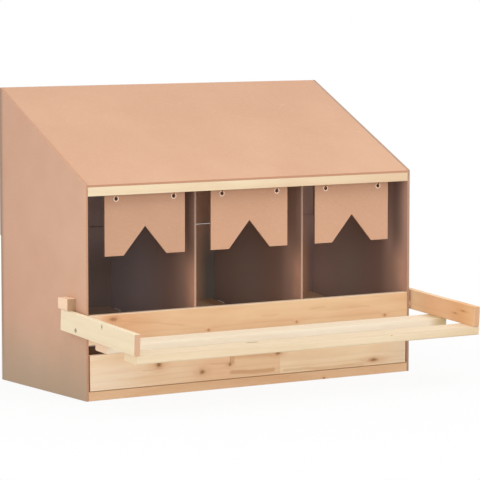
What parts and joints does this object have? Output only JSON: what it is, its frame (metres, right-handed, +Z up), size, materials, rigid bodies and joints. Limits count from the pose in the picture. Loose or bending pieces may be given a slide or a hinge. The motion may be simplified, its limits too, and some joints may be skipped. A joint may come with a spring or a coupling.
{
  "type": "chicken nesting box",
  "caption": "Wooden hen nesting box with a sloping roof, side-by-side nests behind hanging notched flaps, a fold-up perch and a pull-out egg drawer.",
  "frame": {"origin": "centre of the bottom board's underside", "axes": "+X to the right seen from the front, +Y to the rear, +Z up"},
  "size_m": [0.734, 0.5174, 0.541],
  "materials": {
    "hardboard": "smooth tan board",
    "pine": "planed bare pine",
    "plated_steel": "zinc plated",
    "eyelet_metal": "satin",
    "spacer_plastic": "moulded"
  },
  "bodies": {
    "carcass": {"left_side_panel": "hardboard", "right_side_panel": "hardboard", "roof_panel": "hardboard", "bottom_board": "pine", "top_front_rail": "pine", "nest_front_board": "pine", "rear_top_batten": "pine", "rear_upper_panel": "hardboard", "rear_lower_panel": "hardboard", "divider_left": "hardboard", "divider_right": "hardboard", "floor_front_ledger": "pine", "floor_rear_ledger": "pine", "nest_floor_left": "hardboard", "nest_floor_middle": "hardboard", "nest_floor_right": "hardboard", "flap_hooks": "plated_steel", "perch_stop_block_left": "pine", "perch_stop_block_right": "pine", "perch_pivot_screws": "plated_steel", "perch_pivot_spacers": "spacer_plastic"},
    "perch": {"perch_arm_left": "pine", "perch_arm_right": "pine", "perch_front_rail": "pine", "perch_rear_rail": "pine"},
    "drawer": {"drawer_front_board": "pine", "drawer_side_left": "pine", "drawer_side_right": "pine", "drawer_back": "pine", "drawer_base": "hardboard"},
    "flap_left": {"flap_left": "hardboard", "flap_eyelets_left": "eyelet_metal"},
    "flap_middle": {"flap_middle": "hardboard", "flap_eyelets_middle": "eyelet_metal"},
    "flap_right": {"flap_right": "hardboard", "flap_eyelets_right": "eyelet_metal"}
  },
  "joints": [
    {"name": "perch_fold", "type": "hinge", "parent": "carcass", "child": "perch", "pos_m": [0, -0.1515, 0.1265], "axis": [-1, 0, 0], "range_deg": [0, 93]},
    {"name": "drawer_slide", "type": "slide", "parent": "carcass", "child": "drawer", "axis": [0, -1, 0], "range_m": [0, 0.24]},
    {"name": "flap_left_swing", "type": "hinge", "parent": "carcass", "child": "flap_left", "pos_m": [-0.21693, -0.137, 0.36033], "axis": [1, 0, 0], "range_deg": [-12, 75]},
    {"name": "flap_middle_swing", "type": "hinge", "parent": "carcass", "child": "flap_middle", "pos_m": [0.004, -0.137, 0.36033], "axis": [1, 0, 0], "range_deg": [-12, 75]},
    {"name": "flap_right_swing", "type": "hinge", "parent": "carcass", "child": "flap_right", "pos_m": [0.23133, -0.137, 0.36033], "axis": [1, 0, 0], "range_deg": [-12, 75]}
  ]
}
